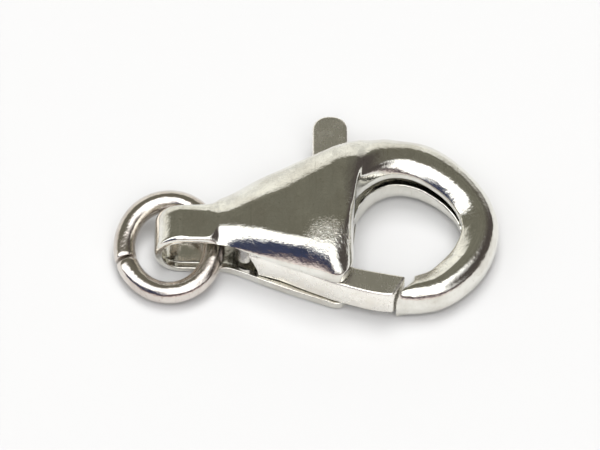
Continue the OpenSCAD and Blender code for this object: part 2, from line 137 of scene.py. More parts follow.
def arch(width: float, base: float, rise: float, power: float, steps: int = 160) -> np.ndarray:
    """Returns the points of a domed line over a width, with upright ends.

    Args:
        width: Distance between its ends.
        base: Height of its ends.
        rise: Height of its middle above them.
        power: How square its shoulders are, 2 for an ellipse.
        steps: Number of steps.

    Returns:
        Rows of length along the section and height.
    """
    t = np.linspace(0, math.pi, steps + 1)
    c, s = np.cos(t), np.maximum(np.sin(t), 0)
    along = width / 2 * (1 - np.sign(c) * np.abs(c) ** (2 / power))
    return np.stack([along, base + rise * s ** (2 / power)], 1)


def shoulder(width: float, drop: float, power: float, steps: int = 60) -> np.ndarray:
    """Returns the points of a falling shoulder, from its edge up to the flat top.

    Args:
        width: How far it reaches in from the edge.
        drop: How far the edge lies below the top.
        power: Power of its curve: 2 for an ellipse, nearer 1 for a bevel.
        steps: Number of steps.

    Returns:
        Rows of length from the edge and height below the top.
    """
    c = np.cos(np.linspace(0, math.pi / 2, steps + 1))
    return np.stack([width * (1 - c), -drop * (1 - np.maximum(0, 1 - c ** power) ** (1 / power))], 1)


def round_over(width: float, drop: float, power: float, steps: int = 40) -> np.ndarray:
    """Returns the points of a fall that steepens from a flat top, from its edge up to the top.

    Args:
        width: How far it reaches in from the edge.
        drop: How far the edge lies below the top.
        power: How late it falls: 2 for a round one, nearer 1 for a bevel.
        steps: Number of steps.

    Returns:
        Rows of length from the edge and height below the top.
    """
    t = np.linspace(0, 1, steps + 1)
    return np.stack([width * t, -drop * (1 - t) ** power], 1)


def top_line(lo: float, hi: float, top: float, outer: Sequence[float], inner: Sequence[float]) -> np.ndarray:
    """Returns a section's top from its inner end to its outer one.

    Args:
        lo: Place of the outer end.
        hi: Place of the inner end.
        top: Height of the flat top.
        outer: Width, drop and power of the outer shoulder.
        inner: Width, drop and power of the inner round-over.

    Returns:
        Rows of length along the section and height.
    """
    first = round_over(*inner)
    second = shoulder(*outer)[::-1]
    return np.concatenate([np.stack([hi - first[:, 0], top + first[:, 1]], 1),
                           np.stack([lo + second[:, 0], top + second[:, 1]], 1)])


def softly_least(a: float, b: float) -> float:
    """Returns the lesser of two numbers, or a little less where they are near each other."""
    return a * b / (a ** 4 + b ** 4) ** 0.25


def eased(points: np.ndarray, radius: float) -> np.ndarray:
    """Rounds the corners of a line and leaves its ends where they are.

    Args:
        points: The line's points, as rows.
        radius: About how far the rounding reaches.

    Returns:
        The new points, evenly spaced.
    """
    length = np.linalg.norm(np.diff(points, axis=0), axis=1).sum()
    line = spread(points, max(12, int(length / radius * 5)), 0.0)
    for _ in range(14):
        line[1:-1] = line[1:-1] * 0.5 + (line[:-2] + line[2:]) * 0.25
    return line


def corner(centre: Sequence[float], radius: float, start: float, end: float, steps: int = 5) -> np.ndarray:
    """Returns the points of an arc, with its angles in degrees."""
    a = np.radians(np.linspace(start, end, steps + 1))
    return np.array(centre) + radius * np.stack([np.cos(a), np.sin(a)], 1)


@dataclass
class SmoothTable:
    """A smooth curve through the rows of a table of sections."""

    rows: np.ndarray
    rounds: int = 14
    controls: np.ndarray = field(init=False)

    def __post_init__(self) -> None:
        """Finds the control rows whose curve passes through the table's rows."""
        c = self.rows.copy()
        for _ in range(self.rounds):
            p = self.padded(c)
            c = c + self.rows - (p[:-2] + 4 * p[1:-1] + p[2:]) / 6
        self.controls = self.padded(c)

    @staticmethod
    def padded(c: np.ndarray) -> np.ndarray:
        """Returns the rows with one more at each end, in line with the last two."""
        return np.concatenate([[2 * c[0] - c[1]], c, [2 * c[-1] - c[-2]]])

    def at(self, s: np.ndarray) -> np.ndarray:
        """Finds rows of the curve.

        Args:
            s: Parameters, counted in table rows.

        Returns:
            The curve's row at each of them.
        """
        i = np.clip(np.floor(s).astype(int), 0, len(self.rows) - 2)
        f = (s - i)[:, None]
        c = self.controls
        return ((1 - f) ** 3 * c[i] + (3 * f ** 3 - 6 * f ** 2 + 4) * c[i + 1]
                + (-3 * f ** 3 + 3 * f ** 2 + 3 * f + 1) * c[i + 2] + f ** 3 * c[i + 3]) / 6


@dataclass(frozen=True)
class ClaspSizes:
    """Sizes that more than one piece follows, in millimetres."""

    clasp_len: float = 13.0
    body_len: float = 7.5
    body_h: float = 3.0
    dome_h: float = 0.8
    shoulder_w: float = 1.1
    bevel_w: float = 1.2
    bevel_h: float = 0.46
    sheet_t: float = 0.28
    back_r: float = 0.24
    mouth_lo: float = 0.44
    mouth_hi: float = 1.75
    tail_w: float = 1.7
    tail_h: float = 2.2
    loop_len: float = 3.0
    hook_r: float = 3.48
    hook_rise: float = 0.4
    hook_h: float = 1.65
    tip_h: float = 1.42
    crown_w: float = 1.56
    side_w: float = 1.4
    tip_w: float = 1.2
    hook_back: float = 0.55
    groove_h: float = 0.3
    groove_z: float = 0.9
    tip_gap: float = 0.1
    tip_slant: float = 28.0
    slit_back: float = 0.13
    pivot_x: float = 4.5
    pivot_drop: float = 1.02

    @property
    def hook_c(self) -> np.ndarray:
        """Centre of the hook."""
        return np.array([self.clasp_len - self.hook_r, self.hook_rise])

    @property
    def spine_y(self) -> float:
        """Reach of the hook towards the spine."""
        return self.hook_rise + self.hook_r

    @property
    def near_y(self) -> float:
        """Reach of the hook towards the gate."""
        return self.hook_rise - self.hook_r

    @property
    def pivot(self) -> np.ndarray:
        """Place of the gate's pivot."""
        return np.array([self.pivot_x, -self.pivot_drop])

    def spine_at(self, sx: float, sy: float) -> list[float]:
        """Returns a point of the spine's edge from shares of the body's sizes."""
        return [mix(self.loop_len, self.body_len, sx), mix(self.tail_w / 2, self.spine_y, sy)]

    def near_at(self, sx: float, sy: float) -> list[float]:
        """Returns a point of the near edge from shares of the body's sizes."""
        return [mix(self.loop_len, self.body_len, sx), mix(-self.tail_w / 2, self.near_y, sy)]

    def round_hook(self, r: float, angle: float) -> list[float]:
        """Returns a point of the hook at a radius and an angle in degrees."""
        return list(self.hook_c + r * heading(angle))

    def slit_at(self, w: float, side: int) -> list[float]:
        """Finds a point of the slit between gate and hook.

        Args:
            w: Its distance in from the hook's near side.
            side: -1 for the gate's tip and 1 for the hook's.

        Returns:
            The point's x and y.
        """
        slant = math.radians(self.tip_slant)
        middle = self.hook_c[0] - self.slit_back * self.hook_r + w * math.tan(slant)
        return [middle + side * self.tip_gap / 2 / math.cos(slant), self.near_y + w]

    def to_row(self, points: np.ndarray) -> np.ndarray:
        """Moves points from the tail frame in millimetres to the row frame in metres."""
        return (points - np.array([self.pivot_x, -self.pivot_drop, 0.0])) * MM


# Finishes


def group(name: str, inputs: dict[str, tuple[str, object]], outputs: dict[str, str]) -> bpy.types.NodeTree:
    """Makes an empty shader node group.

    Args:
        name: The group's name.
        inputs: Socket type and first value of each named input.
        outputs: Socket type of each named output.

    Returns:
        The group, with nodes "in" and "out" in it.
    """
    tree = bpy.data.node_groups.new(name, "ShaderNodeTree")
    for key, (kind, value) in inputs.items():
        tree.interface.new_socket(name=key, in_out="INPUT", socket_type=kind).default_value = value
    for key, kind in outputs.items():
        tree.interface.new_socket(name=key, in_out="OUTPUT", socket_type=kind)
    tree.nodes.new("NodeGroupInput").name = "in"
    tree.nodes.new("NodeGroupOutput").name = "out"
    return tree


class NodeMaker:
    """Short ways to add and link nodes in one tree."""

    def __init__(self, tree: bpy.types.NodeTree) -> None:
        """Keeps the tree that the nodes go into."""
        self.tree = tree

    def add(self, kind: str, inputs: dict | None = None, **settings: object) -> bpy.types.Node:
        """Adds a node.

        Args:
            kind: Its type's name.
            inputs: A value or an output socket for each named or numbered input.
            settings: Values of its own properties.

        Returns:
            The new node.
        """
        node = self.tree.nodes.new(kind)
        for key, value in settings.items():
            setattr(node, key, value)
        for key, value in (inputs or {}).items():
            if isinstance(value, bpy.types.NodeSocket):
                self.tree.links.new(value, node.inputs[key])
            else:
                node.inputs[key].default_value = value
        return node

    def noise(self, at: bpy.types.NodeSocket, scale: float, detail: float,
              roughness: float = 0.5) -> bpy.types.NodeSocket:
        """Adds a Noise Texture node and returns its value."""
        return self.add("ShaderNodeTexNoise", {"Vector": at, "Scale": scale, "Detail": detail,
                                               "Roughness": roughness}).outputs[0]

    def blend(self, share: VALUE, first: bpy.types.NodeSocket | tuple, second: bpy.types.NodeSocket | tuple,
              kind: str = "MIX") -> bpy.types.NodeSocket:
        """Adds a Mix node for two colours and returns its colour."""
        ends = [(*end, 1.0) if isinstance(end, tuple) else end for end in (first, second)]
        return self.add("ShaderNodeMix", {0: share, 6: ends[0], 7: ends[1]}, data_type="RGBA",
                        blend_type=kind).outputs[2]

    def math(self, operation: str, a: VALUE, b: VALUE = 0.0, clamp: bool = False) -> bpy.types.NodeSocket:
        """Adds a Math node and returns its output."""
        return self.add("ShaderNodeMath", {0: a, 1: b}, operation=operation, use_clamp=clamp).outputs[0]

    def ramp(self, factor: bpy.types.NodeSocket,
             stops: Sequence[tuple[float, Sequence[float]]]) -> bpy.types.NodeSocket:
        """Adds a colour ramp and returns its colour.

        Args:
            factor: What it reads.
            stops: Place and colour of each stop.

        Returns:
            Its colour output.
        """
        node = self.add("ShaderNodeValToRGB", {0: factor})
        ramp = node.color_ramp
        while len(ramp.elements) < len(stops):
            ramp.elements.new(0.5)
        for element, (place, colour) in zip(ramp.elements, stops):
            element.position = place
            element.color = (*colour, 1.0)
        return node.outputs["Color"]

    def span(self, value: bpy.types.NodeSocket, low: float, high: float, to_low: float = 0.0,
             to_high: float = 1.0) -> bpy.types.NodeSocket:
        """Adds a Map Range node and returns its result."""
        return self.add("ShaderNodeMapRange", {0: value, 1: low, 2: high, 3: to_low, 4: to_high}).outputs[0]


def polishing_marks() -> bpy.types.NodeTree:
    """Makes the group for the marks of polishing: fine scratches, pits and a slow waviness.

    Returns:
        A group that puts out a height, the share of hazed metal and a mask of dull specks.
    """
    tree = group("polishing_marks", {
        "Vector": ("NodeSocketVector", (0, 0, 0)),
        "Scratches": ("NodeSocketFloat", 1.0),
        "Pits": ("NodeSocketFloat", 1.0),
        "Waves": ("NodeSocketFloat", 1.0),
        "Patch": ("NodeSocketFloat", 0.0),
    }, {"Height": "NodeSocketFloat", "Haze": "NodeSocketFloat", "Specks": "NodeSocketFloat"})
    make = NodeMaker(tree)
    source = tree.nodes["in"].outputs
    place = source["Vector"]
    scratches = None
    for turn, reach in ((0.5, 9000.0), (-0.9, 7000.0), (2.1, 8000.0)):
        turned = make.add("ShaderNodeMapping", {"Vector": place, "Rotation": (0.2, 0.1, turn),
                                                "Scale": (reach, reach * 0.04, reach * 0.3)}).outputs[0]
        strokes = make.span(make.noise(turned, 1.0, 3.0, 0.6), 0.6, 0.75)
        scratches = make.math("MAXIMUM", scratches, strokes) if scratches is not None else strokes
    grains = make.noise(place, 7000.0, 3.0, 0.65)
    pits = make.span(make.noise(place, 5200.0, 2.0, 0.7), 0.64, 0.72)
    waves = make.noise(place, 1300.0, 2.0)
    clouds = make.noise(place, 800.0, 4.0, 0.65)
    strength = make.math("ADD", make.span(clouds, 0.35, 0.7, 0.35, 1.0),
                         make.math("MULTIPLY", source["Patch"], 3.8))
    worn = make.math("ADD", make.math("MULTIPLY", scratches, source["Scratches"]),
                     make.math("MULTIPLY", pits, source["Pits"]))
    even = make.math("ADD", make.math("MULTIPLY", waves, source["Waves"]),
                     make.math("MULTIPLY", grains, strength))
    height = make.math("ADD", even, make.math("MULTIPLY", worn, -0.06))
    out = tree.nodes["out"].inputs
    tree.links.new(height, out["Height"])
    tree.links.new(make.span(clouds, 0.42, 0.68), out["Haze"])
    tree.links.new(make.math("MAXIMUM", pits, make.math("MULTIPLY", scratches, 0.5)), out["Specks"])
    return tree


@dataclass(frozen=True)
class Metal:
    """A bare metal with polishing marks.

    Colours are linear. Roughness runs from the first value on clean metal to the second where it is hazed.
    Within patch_r of patch_at the grain is much stronger.
    """

    name: str
    colour: tuple[float, float, float]
    dull: tuple[float, float, float]
    roughness: tuple[float, float]
    scratches: float = 1.0
    pits: float = 1.0
    waves: float = 1.0
    depth: float = 1.4e-5
    patch_at: tuple[float, float, float] = (0.0, 0.0, 0.0)
    patch_r: float = 0.0

    def material(self, marks: bpy.types.NodeTree) -> bpy.types.Material:
        """Makes the material.

        Args:
            marks: The group of polishing marks.

        Returns:
            The material, on Object coordinates.
        """
        made = bpy.data.materials.new(self.name)
        made.use_nodes = True
        tree = made.node_tree
        shader = tree.nodes["Principled BSDF"]
        make = NodeMaker(tree)
        place = make.add("ShaderNodeTexCoord").outputs["Object"]
        worn = make.add("ShaderNodeGroup", node_tree=marks)
        tree.links.new(place, worn.inputs["Vector"])
        for key, value in (("Scratches", self.scratches), ("Pits", self.pits), ("Waves", self.waves)):
            worn.inputs[key].default_value = value
        if self.patch_r:
            away = make.add("ShaderNodeVectorMath", {0: place, 1: self.patch_at},
                            operation="DISTANCE").outputs["Value"]
            tree.links.new(make.span(away, self.patch_r, 0.35 * self.patch_r), worn.inputs["Patch"])
        marked = make.math("ADD", worn.outputs["Haze"], worn.outputs["Specks"])
        share = make.math("MULTIPLY", marked, 0.75, True)
        tree.links.new(make.blend(share, self.colour, self.dull), shader.inputs["Base Color"])
        rough = make.span(share, 0.0, 1.0, self.roughness[0], self.roughness[1])
        tree.links.new(rough, shader.inputs["Roughness"])
        shader.inputs["Metallic"].default_value = 1.0
        bump = make.add("ShaderNodeBump", {"Strength": 1.0, "Distance": self.depth,
                                           "Height": worn.outputs["Height"]})
        tree.links.new(bump.outputs[0], shader.inputs["Normal"])
        return made


SILVER = Metal("polished_silver", (0.86, 0.85, 0.79), (0.68, 0.65, 0.58), (0.08, 0.2),
               patch_at=(0.0020, -0.0002, 0.0029), patch_r=0.00105)
RING_SILVER = Metal("drawn_silver_wire", (0.74, 0.69, 0.64), (0.54, 0.48, 0.43), (0.1, 0.26), scratches=1.4,
                    waves=1.6)
GATE_SILVER = Metal("cast_silver", (0.95, 0.93, 0.87), (0.84, 0.80, 0.72), (0.22, 0.38), pits=1.8,
                    waves=1.8)
STEEL = Metal("drawn_steel", (0.42, 0.41, 0.40), (0.25, 0.22, 0.19), (0.25, 0.45), scratches=2.0)


# Meshes


def finished(name: str, bm: bmesh.types.BMesh,
             shift: Callable[[bmesh.types.BMesh], None] | None = None) -> bpy.types.Object:
    """Turns a bmesh into an object at the origin, closed, facing outwards and smooth up to an angle.

    Args:
        name: The piece's name.
        bm: The mesh, in metres in the row frame, which is freed.
        shift: What to do to the merged mesh before its normals are made.

    Returns:
        The object, linked to the scene.
    """
    bmesh.ops.remove_doubles(bm, verts=bm.verts, dist=MERGE_M)
    bmesh.ops.dissolve_degenerate(bm, edges=bm.edges, dist=MERGE_M / 20)
    if shift:
        shift(bm)
    bmesh.ops.recalc_face_normals(bm, faces=bm.faces)
    open_edges = sum(1 for e in bm.edges if len(e.link_faces) != 2)
    mesh = bpy.data.meshes.new(name)
    bm.to_mesh(mesh)
    bm.free()
    mesh.shade_smooth()
    mesh.set_sharp_from_angle(angle=math.radians(SHARP_DEG))
    made = bpy.data.objects.new(name, mesh)
    bpy.context.scene.collection.objects.link(made)
    LOG.info("%s: %d faces, %d open edges", name, len(mesh.polygons), open_edges)
    return made


def seat(piece: bpy.types.Object, rigid: Rigid, slot: Slot, material: bpy.types.Material,
         *nodes: str) -> None:
    """Gives a piece its material, its body, its slot and the nodes that it stands for.

    Args:
        piece: The finished piece.
        rigid: The body that it rides on.
        slot: Its material slot in the record; not used.
        material: Its material.
        nodes: Names of the nodes that it stands for.
    """
    piece.data.materials.clear()
    piece.data.materials.append(material)
    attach(piece, rigid.value)
    if nodes:
        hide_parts(*nodes)
    LOG.info("%s rides on %s, in %s", piece.name, rigid.value, material.name)


@dataclass
class SheetBody:
    """The hollow body: a front and a back sheet from the folded tail to the tip of the hook."""

    sizes: ClaspSizes
    fine: int = 4
    coarse_steps: int = 66
    skin_points: int = 54
    lining_points: int = 20
    rim_r: float = 0.05
    shoulder_r: float = 0.09
    end_r: float = 0.035
    end_bulge: float = 0.6
    waviness: float = 0.006
    flat_below: float = 0.03
    burr: float = 0.03
    slot_from: float = 4.342
    slot_to: float = 7.4
    # how many rows before the last one the hook's tip starts to be closed inside
    tip_rows_closed: float = 2.6
    # lip under each fall, and the fold's closed mouth, as shares of the sheet's thickness
    lip: float = 0.14
    fold_lip: float = 1.1
    # how far the groove sinks from the crown to the side, as a share of its height
    groove_sink: float = 0.7
    # heights of the seam along the hook's far side, as shares of the section's height
    hook_seam: tuple = (0.42, 0.5)
    # most of a section's width that a fall may take, and what it takes in the hook
    most_w: float = 0.48
    hook_w: float = 0.47
    # outer fall: drops in the bend and down the hook as shares of the height, and powers on the body,
    # in the bend and down the hook
    outer_drops: tuple = (0.3, 0.45)
    outer_powers: tuple = (1.3, 1.8, 2.1)
    # inner fall: width in the bend as a share of the crown's, drop down the hook as a share of the
    # height, and powers on the body and down the hook
    crown_fall: float = 0.4
    inner_drop: float = 0.2
    inner_powers: tuple = (2.0, 1.2)
    # drop of the lining's falls as a share of the skin's
    lining_drop: float = 0.8
    # columns: waves per millimetre, share of their height, shift of their pattern
    waves: tuple = ((0.9, 1.0, 7.0), (2.3, 0.4, 0.0))
    # columns: spine x share, spine y share, near x share, near y share, top share, bevel share,
    # shoulder share, mouth share
    body_rows: tuple = (
        (-0.20, 0.03, -0.20, 0.01, 0.00, 0.45, 0.15, 0.0),
        (-0.12, 0.12, -0.12, 0.02, 0.02, 0.75, 0.80, 0.5),
        (-0.01, 0.21, -0.01, 0.06, 0.12, 0.90, 0.95, 0.8),
        (0.16, 0.34, 0.19, 0.24, 0.40, 1.00, 1.00, 0.95),
        (0.31, 0.42, 0.40, 0.43, 0.66, 1.05, 1.00, 1.0),
        (0.44, 0.49, 0.60, 0.59, 0.86, 1.05, 1.00, 1.0),
        (0.55, 0.56, 0.77, 0.72, 0.97, 1.00, 1.10, 1.0),
        (0.65, 0.63, 0.88, 0.78, 1.00, 0.95, 1.30, 1.0),
        (0.74, 0.70, 0.96, 0.65, 0.99, 0.90, 1.50, 1.0),
    )
    # columns: spine x share, spine y share, share of the way up the edge, top share, bevel share,
    # shoulder share, mouth share
    eye_rows: tuple = (
        (0.84, 0.78, 0.38, 0.96, 0.80, 1.5, 1.0),
        (0.95, 0.865, 0.62, 0.90, 0.85, 1.25, 1.0),
        (1.07, 0.94, 0.86, 0.81, 0.95, 0.9, 1.02),
    )
    # columns: spine x share, spine y share, angle inside the hook, top share, bevel share, shoulder share,
    # mouth share
    bend_rows: tuple = (
        (1.18, 1.005, 165, 0.70, 0.95, 0.8, 1.45),
        (1.30, 1.06, 144, 0.59, 0.70, 0.8, 1.9),
        (1.41, 1.055, 122, 0.50, 0.70, 0.9, 2.0),
    )
    # columns: outer angle, outer radius share, inner angle, width share from crown to side,
    # width share from side to tip, top share, share of the way down to the tip, mouth share
    hook_rows: tuple = (
        (79, 1.034, 101, 0.0, 0.0, 0.41, 0.0, 2.0),
        (64, 1.003, 79, 0.0, 0.0, 0.32, 0.0, 2.0),
        (48, 0.974, 58, 0.2, 0.0, 0.22, 0.0, 2.1),
        (32, 0.974, 37, 0.5, 0.0, 0.13, 0.0, 2.3),
        (15, 0.993, 17, 0.8, 0.0, 0.05, 0.0, 2.6),
        (-2, 1.005, -2, 1.0, 0.0, 0.01, 0.0, 2.9),
        (-19, 0.991, -20, 1.0, 0.0, 0.00, 0.25, 3.0),
        (-36, 0.983, -37, 1.0, 0.0, 0.00, 0.5, 3.0),
        (-53, 0.988, -54, 1.0, 0.1, 0.00, 0.7, 3.0),
        (-68, 1.000, -68, 1.0, 0.4, 0.00, 0.85, 3.0),
        (-81, 0.988, -81, 1.0, 0.8, 0.00, 0.95, 3.0),
    )
    # columns: outer angle, outer radius share, share of the way from the last row to the slit,
    # inner width share
    tip_rows: tuple = ((-87, 0.982, 0.42, 0.94), (-93.5, 0.988, 0.88, 0.74))

    def rows(self) -> np.ndarray:
        """Returns the table of sections from the tail fold to the hook's tip.

        Returns:
            Rows of outer x and y, inner x and y, height, bevel share, shoulder share and mouth share.
        """
        s = self.sizes
        tip = [s.tip_h, 0.8, 1, 3]
        bow_r = s.hook_r * self.hook_rows[0][1] - s.crown_w
        out = [[s.tail_h / 2, s.tail_w / 2, s.tail_h / 2, -s.tail_w / 2, s.tail_h, 0.3, 0.15, 0]]
        out += [s.spine_at(r[0], r[1]) + s.near_at(r[2], r[3]) + [mix(s.tail_h, s.body_h, r[4]), *r[5:]]
                for r in self.body_rows]
        out += [s.spine_at(r[0], r[1]) + [s.body_len, mix(s.near_y, s.hook_rise, r[2])]
                + [mix(s.hook_h, s.body_h, r[3]), *r[4:]] for r in self.eye_rows]
        out += [s.spine_at(r[0], r[1]) + s.round_hook(bow_r, r[2])
                + [mix(s.hook_h, s.body_h, r[3]), *r[4:]] for r in self.bend_rows]
        out += [s.round_hook(s.hook_r * r[1], r[0])
                + s.round_hook(s.hook_r * r[1] - mix(mix(s.crown_w, s.side_w, r[3]), s.tip_w, r[4]), r[2])
                + [mix(mix(s.hook_h, s.body_h, r[5]), s.tip_h, r[6]), 0.8, 1, r[7]] for r in self.hook_rows]
        inner = np.array(s.round_hook(s.hook_r * self.hook_rows[-1][1] - s.tip_w, self.hook_rows[-1][2]))
        out += [s.round_hook(s.hook_r * r[1], r[0])
                + list(mix(inner, np.array(s.slit_at(r[3] * s.tip_w, 1)), r[2])) + tip for r in self.tip_rows]
        out += [s.slit_at(0.02 * s.tip_w, 1) + s.slit_at(0.55 * s.tip_w, 1) + tip]
        return np.array(out, float)

    def build(self) -> bpy.types.Object:
        """Builds the whole body as one closed mesh.

        Returns:
            The body's object.
        """
        s = self.sizes
        rows = self.rows()
        count = self.coarse_steps * self.fine
        st = SmoothTable(rows).at(np.linspace(0, len(rows) - 1, count + 1))
        outer, inner = st[:, 0:2], st[:, 2:4]
        across = unit(inner - outer)
        width = np.linalg.norm(inner - outer, axis=1)
        side = np.stack([-across[:, 1], across[:, 0]], 1)

        def sheet_across(edge: np.ndarray) -> np.ndarray:
            """Returns the sheet's width along the section beside an edge."""
            along = unit(np.gradient(edge, axis=0))
            return s.sheet_t * np.minimum(1.4, 1 / np.maximum(0.1, np.abs((along * side).sum(1))))

        a_in, b_in = sheet_across(outer), width - sheet_across(inner)
        coarse = outer[::self.fine, 0]
        wall_from = int(np.argmax(coarse > s.loop_len)) * self.fine
        slot = tuple(int(np.argmax(coarse > x)) * self.fine for x in (self.slot_from, self.slot_to))
        last = math.floor(self.coarse_steps * (1 - self.tip_rows_closed / (len(rows) - 1))) * self.fine

        def fade(i: int, *ends: int) -> float:
            """Returns how much of the rims' rounding is left near the stations where it ends."""
            return min(1.0, *[abs(i - e) / self.fine for e in ends])

        grid: dict[str, list[np.ndarray] | np.ndarray] = {}
        for i in range(count + 1):
            is_open = i <= wall_from or slot[0] <= i <= slot[1]
            r_s = self.rim_r * fade(i, wall_from, *slot) if is_open else 0.0
            r_f = self.rim_r * fade(i, last) if i < last else 0.0
            lines = self.section(st[i], width[i], a_in[i], b_in[i], r_s, r_f, i / self.fine)
            for key, chain in lines.items():
                flat = outer[i] + chain[:, :1] * across[i]
                grid.setdefault(key, []).append(np.concatenate([flat, chain[:, 1:]], 1))
        grid = {key: np.array(lines) for key, lines in grid.items()}

        parts = [grid["front_skin"], grid["back_skin"], grid["front_lining"][:last + 1],
                 grid["back_lining"][:last + 1], grid["front_rim"][:last + 1], grid["back_rim"][:last + 1],
                 grid["inside_wall"][last:]]
        opened = [(0, wall_from), slot]
        closed = [(wall_from, slot[0]), (slot[1], count)]
        for lo, hi in opened:
            parts += [grid["front_spine_rim"][lo:hi + 1], grid["back_spine_rim"][lo:hi + 1]]
        for lo, hi in closed:
            parts += [grid["wall"][lo:hi + 1], grid["lining_wall"][lo:min(hi, last) + 1]]
        caps = [np.concatenate([grid["front_spine_rim"][i], grid["back_spine_rim"][i][::-1]])
                for i in (wall_from, *slot)]
        caps += [np.concatenate([grid["front_rim"][last], grid["back_rim"][last][::-1]]),
                 np.concatenate([grid["front_lining"][last], grid["back_lining"][last][::-1]])]
        parts += self.fold(grid)
        edge, end = self.rounded_end(grid, count, across)
        return self.weld(parts + [edge], caps + [end])

    def weld(self, grids: Sequence[np.ndarray], caps: Sequence[np.ndarray]) -> bpy.types.Object:
        """Welds grids of points and flat caps into one closed mesh.

        Args:
            grids: Arrays of rows, columns and coordinates, in the tail frame.
            caps: Rings of points round flat faces, in the tail frame.

        Returns:
            The body's object.
        """
        bm = bmesh.new()
        for grid in grids:
            rows, columns = grid.shape[:2]
            made = [bm.verts.new(p) for p in self.sizes.to_row(grid.reshape(-1, 3))]
            for r in range(rows - 1):
                for c in range(columns - 1):
                    k = r * columns + c
                    bm.faces.new((made[k], made[k + 1], made[k + columns + 1], made[k + columns]))
        for cap in caps:
            bm.faces.new([bm.verts.new(p) for p in self.sizes.to_row(cap)])
        return finished("clasp_shell", bm, self.roughen)

    def section(self, row: np.ndarray, w: float, a: float, b: float, r_s: float, r_f: float,
                at: float) -> dict[str, np.ndarray]:
        """Returns the lines of one section, each from its free side to the spine's.

        Args:
            row: The station's row of the smooth table.
            w: Width of the section.
            a: Place of the lining beside the spine's wall.
            b: Place of the lining beside the open side.
            r_s: Radius of the rims beside the spine.
            r_f: Radius of the rims on the open side.
            at: The station's number, for the burr of the sheared edge.

        Returns:
            Rows of length along the section and height, by the name of each line.
        """
        s = self.sizes
        h, bevel, round_in, share = row[4:8]
        into, down = min(1.0, max(0.0, share - 1)), min(1.0, max(0.0, share - 2))
        tall = h / s.hook_h
        if share < 1:
            m0 = j0 = mix(s.sheet_t * self.fold_lip, s.mouth_lo, share)
            m1 = j1 = mix(h - s.sheet_t * self.fold_lip, s.mouth_hi, share)
        else:
            low = mix(s.groove_z, s.groove_z - self.groove_sink * s.groove_h, down) * tall
            m0, m1 = mix(s.mouth_lo, low, into), mix(s.mouth_hi, low + s.groove_h * tall, into)
            j0, j1 = (mix(z, seam * h, into) for z, seam in zip((s.mouth_lo, s.mouth_hi), self.hook_seam))
        ragged = 0.5 + 0.5 * noise.noise(Vector((at * 1.7, 3.1, 0.0)))
        f0 = m0 - self.burr * max(0.0, share - 0.4) * ragged
        r = mix(s.back_r, s.hook_back * tall, into)
        top, lip = h - s.sheet_t, self.lip * s.sheet_t
        bevel, round_in = max(0.1, bevel), max(0.1, round_in)
        powers, drops = self.outer_powers, self.outer_drops
        drop = mix(mix(s.bevel_h * min(1, bevel), drops[0] * h, into), drops[1] * h, down)
        outer = (min(mix(s.bevel_w * bevel, self.hook_w * w, into), self.most_w * w), min(drop, h - j1 - lip),
                 mix(mix(powers[0], powers[1], into), powers[2], down))
        drop = mix(softly_least(s.dome_h * min(1, round_in), h - m1 - lip), h - m1 - s.sheet_t, into)
        reach = min(mix(s.shoulder_w * round_in, self.crown_fall * s.crown_w, into), 0.5 * w)
        inner = (mix(reach, self.hook_w * w, down), min(mix(drop, self.inner_drop * h, down), h - m1 - lip),
                 mix(*self.inner_powers, down))
        r_f, r_s = min(r_f, abs(w - b) / 2.01), min(r_s, a / 2.01)
        back = arch(w, 0, r, mix(8, 2.2, into))[::-1]
        back[:, 1] = r - back[:, 1]
        skin = top_line(0, w, h, outer, inner)
        most, less = self.most_w * (b - a), self.lining_drop
        lining = top_line(a, b, top, (min(outer[0], most), min(less * outer[1], top - j1 - lip), outer[2]),
                          (min(inner[0], most), min(less * inner[1], top - m1 - lip), inner[2]))

        def rim(lo: float, hi: float, z: float, radius: float, up: int) -> np.ndarray:
            """Returns a rim from hi to lo with rounded corners, towards the open side up or down."""
            return np.concatenate([corner((hi - radius, z + up * radius), radius, 0, -90 * up),
                                   corner((lo + radius, z + up * radius), radius, -90 * up, -180 * up)])

        def chain(start: Sequence[float], middle: np.ndarray, end: Sequence[float], count: int) -> np.ndarray:
            """Joins a line to its two ends, eases its corners and spaces its points anew."""
            return spread(eased(np.concatenate([[start], middle, [end]]), self.shoulder_r), count)

        return {
            "front_skin": chain((w, m1 + r_f), skin, (0, j1 + r_s), self.skin_points),
            "back_skin": chain((w, f0 - r_f), back, (0, j0 - r_s), self.skin_points),
            "front_lining": chain((b, m1 + r_f), lining, (a, j1 + r_s), self.lining_points),
            "back_lining": chain((b, f0 - r_f), np.array([(b, s.sheet_t), (a, s.sheet_t)]), (a, j0 - r_s),
                                 self.lining_points),
            "front_rim": rim(b, w, m1, r_f, 1),
            "back_rim": rim(b, w, f0, r_f, -1),
            "front_spine_rim": rim(0, a, j1, r_s, 1),
            "back_spine_rim": rim(0, a, j0, r_s, -1),
            "wall": np.array([(0, j1), (0, j0)]),
            "lining_wall": np.array([(a, j1), (a, j0)]),
            "inside_wall": np.array([(w, m1), (w, f0)]),
        }

    def fold(self, grid: dict[str, np.ndarray], steps: int = 40) -> list[np.ndarray]:
        """Makes the fold, which carries the front strip round to the back strip.

        Args:
            grid: The body's lines by name.
            steps: Number of steps round the fold.

        Returns:
            The fold's grids.
        """
        s = self.sizes
        mid = s.tail_h / 2
        out = []
        for key in ("skin", "lining", "rim", "spine_rim"):
            front, back = grid["front_" + key][0], grid["back_" + key][0]
            turns = []
            for f in np.linspace(0, 1, steps + 1):
                r = mix(front[:, 2] - mid, mid - back[:, 2], f)
                y = mix(front[:, 1], back[:, 1], f)
                a = math.pi * f
                turns.append(np.stack([mid - r * math.sin(a), y, mid + r * math.cos(a)], 1))
            out.append(np.array(turns))
        return out

